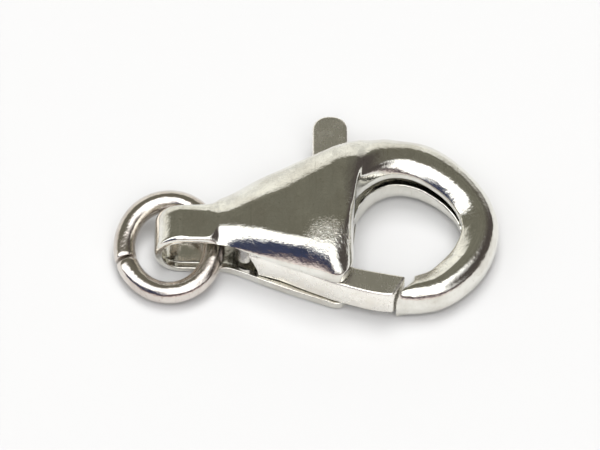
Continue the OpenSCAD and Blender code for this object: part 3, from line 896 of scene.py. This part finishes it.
    def rounded_end(self, grid: dict[str, np.ndarray], count: int,
                    across: np.ndarray) -> tuple[np.ndarray, np.ndarray]:
        """Rounds the edge of the hook's end face.

        Args:
            grid: The body's lines by name.
            count: Number of the last station.
            across: Direction of each section.

        Returns:
            The grid of the rounded edge, and the ring of the flat face inside it.
        """
        ring = np.concatenate([grid["front_skin"][count], grid["wall"][count][1:],
                               grid["back_skin"][count][::-1][1:], grid["inside_wall"][count][:1]])
        out_dir = np.array([across[count][1], -across[count][0], 0.0])
        if out_dir[0] > 0:
            out_dir = -out_dir
        centre = ring.mean(0)
        half = np.abs(ring - centre).max()
        turns = [ring]
        for t in np.radians(np.linspace(15, 90, 6)):
            turns.append(centre + (ring - centre) * (1 - self.end_r * (1 - math.cos(t)) / half)
                         + out_dir * self.end_r * math.sin(t) * self.end_bulge)
        return np.array(turns), turns[-1][:-1]

    def roughen(self, bm: bmesh.types.BMesh) -> None:
        """Gives the sheet the slight waves of stamped metal, and leaves its flat back as it is.

        Args:
            bm: The body's merged mesh.
        """
        bm.normal_update()
        for v in bm.verts:
            p = v.co / MM
            if p.z > self.flat_below:
                lift = sum(share * noise.noise(Vector((p.x * k, p.y * k, p.z * k + shift)))
                           for k, share, shift in self.waves)
                v.co += v.normal * (self.waviness * lift - self.waviness) * MM

    def dress(self, silver: bpy.types.Material) -> None:
        """Builds the body in polished silver, in place of its node."""
        seat(self.build(), Rigid.SHELL, Slot.SHELL, silver, "clasp_body")


@dataclass
class GateLever:
    """The gate: its arm across the mouth, its heel and hub in the neck, and the thumb tab on its web."""

    sizes: ClaspSizes
    arm_w: float = 1.33
    gate_t: float = 1.18
    gate_z: float = 0.5
    tab_at: float = 5.99
    tab_w: float = 1.34
    tab_reach: float = 5.33
    tab_r: float = 0.6
    hub_r: float = 0.56
    bore_r: float = 0.31
    edge_r: float = 0.1
    flat_in: float = 0.02
    heel_slant: float = 70.0
    heel_foot: float = 0.12
    tip_in: float = 0.74
    tip_out: float = 0.01
    web_from: float = 72.0
    hub_from: float = 174.0
    step: float = 0.045
    # columns: share of the arm's length, share of its width
    inside_rows: tuple = ((0.01, 1), (0.35, 0.85), (0.75, 0.75))
    outside_rows: tuple = ((0.4, -0.01), (0, 0.24), (-0.35, 0.41))
    # columns: share of the way from the pivot to the tab, share of the way up to the tab's end
    web_rows: tuple = ((0.3, 0.21), (1, 0.28), (1, 0.52))
    # columns: near x share, near y share
    heel_rows: tuple = ((0.60, 0.54), (0.38, 0.33), (0.24, 0.23), (0.12, 0.17), (0.13, 0.07))

    def arm_at(self, sx: float, sy: float) -> list[float]:
        """Returns a point of the arm from shares of its length and width."""
        s = self.sizes
        return [mix(s.body_len, s.hook_c[0], sx), s.near_y + sy * self.arm_w]

    def web_at(self, sx: float, sy: float) -> list[float]:
        """Returns a point of the web from shares of the way from the pivot to the tab's end."""
        p = self.sizes.pivot
        return [mix(p[0], self.tab_at, sx), mix(p[1], self.tab_reach, sy)]

    def outline(self) -> np.ndarray:
        """Draws the lever's outline.

        Returns:
            Its points, evenly spaced and with the corners eased.
        """
        s = self.sizes
        arm_in = [self.arm_at(*r) for r in self.inside_rows] + [s.slit_at(self.tip_in * s.tip_w, -1)]
        arm_out = [s.slit_at(self.tip_out * s.tip_w, -1)] + [self.arm_at(*r) for r in self.outside_rows]
        web_in = [s.pivot + 0.98 * self.hub_r * heading(self.web_from)]
        web_in += [self.web_at(*r) for r in self.web_rows]
        y, r = self.tab_reach - self.tab_r, self.tab_r
        corners = [np.array(self.web_at(1, 0.49)) + [self.tab_w, 0],
                   np.array([self.tab_at + self.tab_w, s.near_y + 1.13 * self.arm_w])]
        hub = [s.pivot + self.hub_r * heading(a) for a in np.linspace(self.hub_from, self.web_from, 14)]
        ring = np.concatenate([
            bezier(arm_in, 24), bezier(arm_out, 24), [s.near_at(*r) for r in self.heel_rows], hub,
            bezier(web_in, 24), corner((self.tab_at + r, y), r, 180, 90, 12),
            corner((self.tab_at + self.tab_w - r, y), r, 90, 0, 12), corners])
        ring = np.concatenate([ring, ring[:1]])
        far = ring[:-1] - s.pivot
        ring[:-1] = s.pivot + unit(far) * np.maximum(np.linalg.norm(far, axis=1), self.hub_r)[:, None]
        ring[-1] = ring[0]
        length = np.linalg.norm(np.diff(ring, axis=0), axis=1).sum()
        ring = spread(ring, int(length / self.step), 0.0)[:-1]
        for _ in range(5):
            ring = ring * 0.5 + (np.roll(ring, 1, 0) + np.roll(ring, -1, 0)) * 0.25
        return ring

    @staticmethod
    def drawn_in(ring: np.ndarray, distance: float, uncrossed: float = 0.97) -> np.ndarray:
        """Draws an outline in, and clears the small loops that cross at its tight corners.

        Args:
            ring: Its points.
            distance: How far each of them moves inwards.
            uncrossed: Share of the distance that a good point keeps from the outline.

        Returns:
            The new points, as many as before.
        """
        along = unit(np.roll(ring, -1, 0) - np.roll(ring, 1, 0))
        area = (ring[:, 0] * np.roll(ring[:, 1], -1) - np.roll(ring[:, 0], -1) * ring[:, 1]).sum()
        moved = ring + np.stack([-along[:, 1], along[:, 0]], 1) * np.sign(area) * distance
        near = np.linalg.norm(moved[:, None] - ring[None], axis=2).min(1)
        good = np.flatnonzero(near > uncrossed * distance)
        at = np.arange(len(ring))
        return np.stack([np.interp(at, good, moved[good, k], period=len(ring)) for k in (0, 1)], 1)

    def build(self) -> bpy.types.Object:
        """Builds the lever with eased edges and its bore.

        Returns:
            The lever's object.
        """
        s = self.sizes
        ring = self.outline()
        z0, z1, r = self.gate_z, self.gate_z + self.gate_t, self.edge_r
        levels = [(r + self.flat_in, 0.0)] + [(r * (1 - math.sin(t)), r * (1 - math.cos(t)))
                                              for t in np.radians(np.linspace(0, 90, 7))]
        lower = [(d, z0 + z) for d, z in levels]
        upper = [(d, z1 - z) for d, z in reversed(levels)]
        bm = bmesh.new()

        def place(points: np.ndarray, z: float) -> list[bmesh.types.BMVert]:
            """Adds a ring of points at a height, drawn back to the heel's slant.

            Args:
                points: The ring's x and y.
                z: Its height.

            Returns:
                The ring's vertices.
            """
            slant = s.near_at(self.heel_foot, 0)[0] + (z1 - z) / math.tan(math.radians(self.heel_slant))
            x, y = np.maximum(points[:, 0], slant), points[:, 1].copy()
            held = np.flatnonzero(points[:, 0] < slant)
            if len(held):
                y[held] = np.linspace(y[held[0]], y[held[-1]], len(held))
            return [bm.verts.new(p) for p in s.to_row(np.stack([x, y, np.full(len(x), z)], 1))]

        rings = [place(self.drawn_in(ring, d) if d else ring, z) for d, z in lower + upper]
        bore = s.pivot + self.bore_r * np.array([heading(a) for a in np.arange(0, 360, 12)])
        holes = [place(bore, z0), place(bore, z1)]
        for lo, hi in zip(rings, rings[1:]):
            for k in range(len(lo)):
                bm.faces.new((lo[k - 1], lo[k], hi[k], hi[k - 1]))
        for k in range(len(holes[0])):
            bm.faces.new((holes[0][k], holes[0][k - 1], holes[1][k - 1], holes[1][k]))
        for ends in ((rings[0], holes[0]), (rings[-1], holes[1])):
            edges = [bm.edges.get((loop[k - 1], loop[k])) for loop in ends for k in range(len(loop))]
            bmesh.ops.triangle_fill(bm, use_beauty=True, edges=edges)
        return finished("gate", bm)

    def dress(self, silver: bpy.types.Material) -> None:
        """Builds the lever in silver, in place of its node."""
        seat(self.build(), Rigid.GATE, Slot.GATE, silver, "gate_lever")


# The ring's wire


def bent_wire() -> bpy.types.NodeTree:
    """Makes the node tree that sweeps a round wire along a line of edges.

    Returns:
        A tree with inputs for the line, the wire's radius and sides, and its material. The line's
        attribute "ease" gives the share of the radius at each point.
    """
    tree = bpy.data.node_groups.new("bent_wire", "GeometryNodeTree")
    for name, kind in (("Line", "Geometry"), ("Radius", "Float"), ("Sides", "Int"), ("Material", "Material")):
        tree.interface.new_socket(name=name, in_out="INPUT", socket_type="NodeSocket" + kind)
    tree.interface.new_socket(name="Wire", in_out="OUTPUT", socket_type="NodeSocketGeometry")
    make = NodeMaker(tree)
    source = make.add("NodeGroupInput").outputs
    line = make.add("GeometryNodeMeshToCurve", {"Mesh": source["Line"]}).outputs[0]
    ease = make.add("GeometryNodeInputNamedAttribute", {"Name": "ease"}, data_type="FLOAT").outputs[0]
    round_section = make.add("GeometryNodeCurvePrimitiveCircle", {"Resolution": source["Sides"],
                                                                  "Radius": source["Radius"]}).outputs[0]
    swept = make.add("GeometryNodeCurveToMesh", {"Curve": line, "Profile Curve": round_section, "Scale": ease,
                                                 "Fill Caps": True}).outputs[0]
    real = make.add("GeometryNodeRealizeInstances", {"Geometry": swept}).outputs[0]
    painted = make.add("GeometryNodeSetMaterial", {"Geometry": real, "Material": source["Material"]})
    make.add("NodeGroupOutput", {"Wire": painted.outputs[0]})
    return tree


@dataclass
class JumpRing:
    """The jump ring: a bent wire through the tail loop, with its joint not quite closed."""

    sizes: ClaspSizes
    length: float = 4.24
    wide: float = 4.66
    wire_d: float = 0.84
    gap: float = 0.12
    seat: float = 2.25
    lift: float = 1.0
    tilt: float = 10.0
    open_at: float = 188.0
    pitch: float = 6.5
    yaw: float = 8.5
    # rounding of the wire's ends: its radius, its circles, and how many steps of the line they take up
    end_r: float = 0.05
    end_rows: int = 4
    end_steps: int = 3
    sides: int = 40
    steps: int = 220

    def centre_line(self, angle: float) -> np.ndarray:
        """Finds a point of the wire's centre line, which is four arcs that join smoothly.

        Args:
            angle: The direction that the line faces there, in degrees.

        Returns:
            The point's x and y in the ring's own plane.
        """
        a, b = (self.length - self.wire_d) / 2, (self.wide - self.wire_d) / 2
        k = (b - a) / (math.sqrt(2) - 1)
        flat, tight = a + k / math.sqrt(2), b - k / math.sqrt(2)
        arcs = (((a - flat, 0), flat), ((0, b - tight), tight), ((flat - a, 0), flat), ((0, tight - b), tight))
        centre, radius = arcs[int((angle + 45) % 360 // 90)]
        return np.array(centre) + radius * heading(angle)

    def to_tail(self, points: np.ndarray) -> np.ndarray:
        """Moves points from the ring's own frame to the tail frame.

        Args:
            points: Rows of x, y and z, with the ring's plane at z 0.

        Returns:
            The rows with the ring's tilt, drop and turn, seated in the loop.
        """
        a = (self.length - self.wire_d) / 2
        p = points - [a, 0, 0]
        pitch, tilt, yaw = (math.radians(x) for x in (-self.pitch, self.tilt, self.yaw))
        turned = Matrix.Rotation(yaw, 3, "Z") @ Matrix.Rotation(tilt, 3, "X") @ Matrix.Rotation(pitch, 3, "Y")
        return p @ np.array(turned).T + [self.seat, 0, self.lift]

    def line(self) -> tuple[np.ndarray, list[float]]:
        """Draws the wire's line from end to end.

        Returns:
            Its points in the row frame, and the share of the wire's radius at each.
        """
        radius = self.wire_d / 2
        mean = (self.length + self.wide) / 4 - radius / 2
        half_gap = math.degrees(self.gap / 2 / mean)
        angles = np.linspace(self.open_at + half_gap, self.open_at + 360 - half_gap, self.steps)
        line = np.array([self.centre_line(a) for a in angles])
        along = unit(np.gradient(line, axis=0))
        turns = np.radians(np.linspace(0, 90, self.end_rows + 1))[:-1]
        shares = [1 - self.end_r / radius * (1 - math.sin(t)) for t in turns]
        shifts = (self.end_r * (1 - np.cos(turns)))[:, None]
        middle = line[self.end_steps:-self.end_steps]
        flat = np.concatenate([line[0] + along[0] * shifts, middle, line[-1] - along[-1] * shifts[::-1]])
        points = self.to_tail(np.concatenate([flat, np.zeros((len(flat), 1))], 1))
        return self.sizes.to_row(points), shares + [1.0] * len(middle) + shares[::-1]

    def square_ends(self, wire: bpy.types.Mesh, points: np.ndarray) -> None:
        """Squares the last eased circle of each end, which the sweep tilts because the line bends there.

        Args:
            wire: The swept mesh.
            points: The line that it was swept along.
        """
        places = np.empty(3 * len(wire.vertices))
        wire.vertices.foreach_get("co", places)
        circles = places.reshape(-1, self.sides, 3)
        for k, end in ((self.end_rows - 1, 0), (-self.end_rows, -1)):
            along = unit(points[k] - points[end])
            circles[k] -= ((circles[k] - points[k]) @ along)[:, None] * along
        wire.vertices.foreach_set("co", circles.ravel())

    def build(self, silver: bpy.types.Material) -> bpy.types.Object:
        """Builds the bent wire as one closed mesh, by sweeping a circle along its line.

        Args:
            silver: The wire's material.

        Returns:
            The ring's object.
        """
        points, shares = self.line()
        mesh = bpy.data.meshes.new("ring_line")
        mesh.from_pydata(points.tolist(), [(k, k + 1) for k in range(len(points) - 1)], [])
        mesh.attributes.new("ease", "FLOAT", "POINT").data.foreach_set("value", shares)
        path = bpy.data.objects.new("ring_line", mesh)
        bpy.context.scene.collection.objects.link(path)
        modifier = path.modifiers.new("bent_wire", "NODES")
        modifier.node_group = bent_wire()
        values = {"Radius": self.wire_d / 2 * MM, "Sides": self.sides, "Material": silver}
        for item in modifier.node_group.interface.items_tree:
            if item.name in values:
                modifier[item.identifier] = values[item.name]
        swept = bpy.data.meshes.new_from_object(path.evaluated_get(bpy.context.evaluated_depsgraph_get()))
        path.modifiers.clear()
        bpy.data.objects.remove(path)
        bpy.data.meshes.remove(mesh)
        self.square_ends(swept, points)
        bm = bmesh.new()
        bm.from_mesh(swept)
        bpy.data.meshes.remove(swept)
        return finished("jump_ring_wire", bm)

    def dress(self, silver: bpy.types.Material) -> None:
        """Builds the ring in drawn silver, in place of its node."""
        seat(self.build(silver), Rigid.RING, Slot.RING, silver, "jump_ring")


@dataclass
class PivotAndSpring:
    """The pivot pin and the strip that springs the gate shut, both inside the body and kept as they are."""

    nodes: tuple = (("pivot_pin", Slot.PIN), ("gate_spring", Slot.SPRING))

    def dress(self, steel: bpy.types.Material) -> None:
        """Gives both nodes their steel.

        Args:
            steel: Their material.
        """
        for node, slot in self.nodes:
            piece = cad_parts[node]
            piece.data.materials.clear()
            piece.data.materials.append(steel)
            LOG.info("%s in %s", node, steel.name)


@dataclass
class Studio:
    """The pale floor, the soft lights, the surround that the metal mirrors and the camera."""

    aim: tuple[float, float, float] = (1.013, 2.411, 0.0)
    elevation: float = 54.0
    frame_w: float = 22.81
    distance: float = 260.0
    floor_half: float = 0.6
    floor_tone: float = 0.53
    surround_strength: float = 2.0
    # columns: name, azimuth from the near side to the right, elevation, distance in metres, side in
    # metres, power in watts
    panels: tuple = (
        ("far_panel", 170, 72, 0.5, 0.26, 2.0),
        ("near_panel", 8, 62, 0.5, 0.3, 0.9),
    )
    # columns: share of the half turn from the far horizon over the top to the near one, colour
    arc: tuple = (
        (0.0, (0.46, 0.46, 0.44)),
        (0.165, (0.44, 0.43, 0.395)),
        (0.20, (0.088, 0.085, 0.068)),
        (0.43, (0.088, 0.085, 0.068)),
        (0.475, (1.0, 1.0, 1.0)),
        (0.80, (1.0, 1.0, 1.0)),
        (0.825, (0.06, 0.045, 0.05)),
        (0.905, (0.06, 0.045, 0.05)),
        (0.93, (0.42, 0.36, 0.36)),
        (1.0, (0.46, 0.44, 0.42)),
    )
    # columns: share of the half turn, how much of the dark streak there is
    streak: tuple = ((0.66, (0.0,) * 3), (0.69, (1.0,) * 3), (0.86, (1.0,) * 3), (0.885, (0.0,) * 3))
    streak_brown: tuple = (0.055, 0.040, 0.042)
    streak_blue: tuple = (0.022, 0.027, 0.055)
    right_dark: tuple = (0.042, 0.036, 0.034)

    def floor(self) -> None:
        """Lays the floor at the height of the surface."""
        bm = bmesh.new()
        bmesh.ops.create_grid(bm, x_segments=2, y_segments=2, size=self.floor_half)
        mesh = bpy.data.meshes.new("floor")
        bm.to_mesh(mesh)
        bm.free()
        floor = bpy.data.objects.new("floor", mesh)
        bpy.context.scene.collection.objects.link(floor)
        material = bpy.data.materials.new("pale_floor")
        material.use_nodes = True
        shader = material.node_tree.nodes["Principled BSDF"]
        shader.inputs["Base Color"].default_value = (*[self.floor_tone] * 3, 1)
        shader.inputs["Roughness"].default_value = 0.7
        floor.data.materials.append(material)

    @staticmethod
    def towards(azimuth: float, elevation: float) -> Vector:
        """Returns the direction from the clasp to a place, from its angles in degrees."""
        a, e = math.radians(azimuth), math.radians(elevation)
        return Vector((math.sin(a) * math.cos(e), -math.cos(a) * math.cos(e), math.sin(e)))

    @staticmethod
    def hang(name: str, data: bpy.types.ID, place: Vector, away: Vector) -> bpy.types.Object:
        """Puts a light or a camera at a place, facing back along a direction.

        Args:
            name: The object's name.
            data: Its light or camera.
            place: Where it is.
            away: The direction that it turns its back to.

        Returns:
            The object.
        """
        made = bpy.data.objects.new(name, data)
        made.location = place
        made.rotation_mode = "QUATERNION"
        made.rotation_quaternion = (-away).to_track_quat("-Z", "Y")
        bpy.context.scene.collection.objects.link(made)
        return made

    def lights(self) -> None:
        """Hangs the soft panels, which the metal doesn't mirror."""
        for name, azimuth, elevation, distance, side, power in self.panels:
            data = bpy.data.lights.new(name, "AREA")
            data.shape = "RECTANGLE"
            data.size = data.size_y = side
            data.energy = power
            away = self.towards(azimuth, elevation)
            self.hang(name, data, away * distance, away).visible_glossy = False

    def surround(self) -> None:
        """Paints the surround that the metal mirrors, by direction.

        From the far side over the top to the near side it goes from white backdrop through a dark room and a
        broad soft light to the dark place of the camera, with a dark streak where it isn't to the right. To
        the right it is dark down to the surface.
        """
        world = bpy.data.worlds.new("surround")
        bpy.context.scene.world = world
        world.use_nodes = True
        tree = world.node_tree
        make = NodeMaker(tree)
        way = make.add("ShaderNodeTexCoord").outputs["Generated"]
        x, y, z = make.add("ShaderNodeSeparateXYZ", {0: way}).outputs
        over = make.span(make.math("ARCTAN2", z, y), 0.0, math.pi)
        tint = make.blend(make.span(x, 0.0, -0.35), self.streak_brown, self.streak_blue)
        share = make.math("MULTIPLY", make.ramp(over, self.streak), make.span(x, -0.18, -0.40), True)
        left = make.blend(share, make.ramp(over, self.arc), tint)
        right = make.math("MULTIPLY", make.span(x, 0.3, 0.7), make.span(y, -0.75, -0.35), True)
        low = make.math("MULTIPLY", right, make.span(z, 0.02, 0.10), True)
        mixed = make.blend(low, left, self.right_dark)
        uneven = make.span(make.noise(way, 14.0, 4.0), 0.35, 0.65, 0.7, 1.3)
        background = tree.nodes["Background"].inputs
        tree.links.new(make.blend(1.0, mixed, uneven, "MULTIPLY"), background[0])
        background[1].default_value = self.surround_strength

    def camera(self) -> None:
        """Sets the camera at the photograph's angle."""
        data = bpy.data.cameras.new("camera")
        data.sensor_width = 36.0
        data.lens = 36.0 * self.distance / self.frame_w
        data.clip_start, data.clip_end = 0.01, 10.0
        away = self.towards(0.0, self.elevation)
        place = (Vector(self.aim) + away * self.distance) * MM
        bpy.context.scene.camera = self.hang("camera", data, place, away)

    def build(self) -> None:
        """Sets up the whole studio."""
        self.floor()
        self.surround()
        self.lights()
        self.camera()
        bpy.context.scene.view_settings.view_transform = "Standard"


def main() -> None:
    """Builds and dresses the clasp, then its studio."""
    logging.basicConfig(level=logging.INFO, format="%(name)s: %(message)s")
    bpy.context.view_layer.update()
    sizes = ClaspSizes()
    marks = polishing_marks()
    SheetBody(sizes).dress(SILVER.material(marks))
    GateLever(sizes).dress(GATE_SILVER.material(marks))
    JumpRing(sizes).dress(RING_SILVER.material(marks))
    PivotAndSpring().dress(STEEL.material(marks))
    Studio().build()
    bpy.context.view_layer.update()


if __name__ == "__main__":
    main()
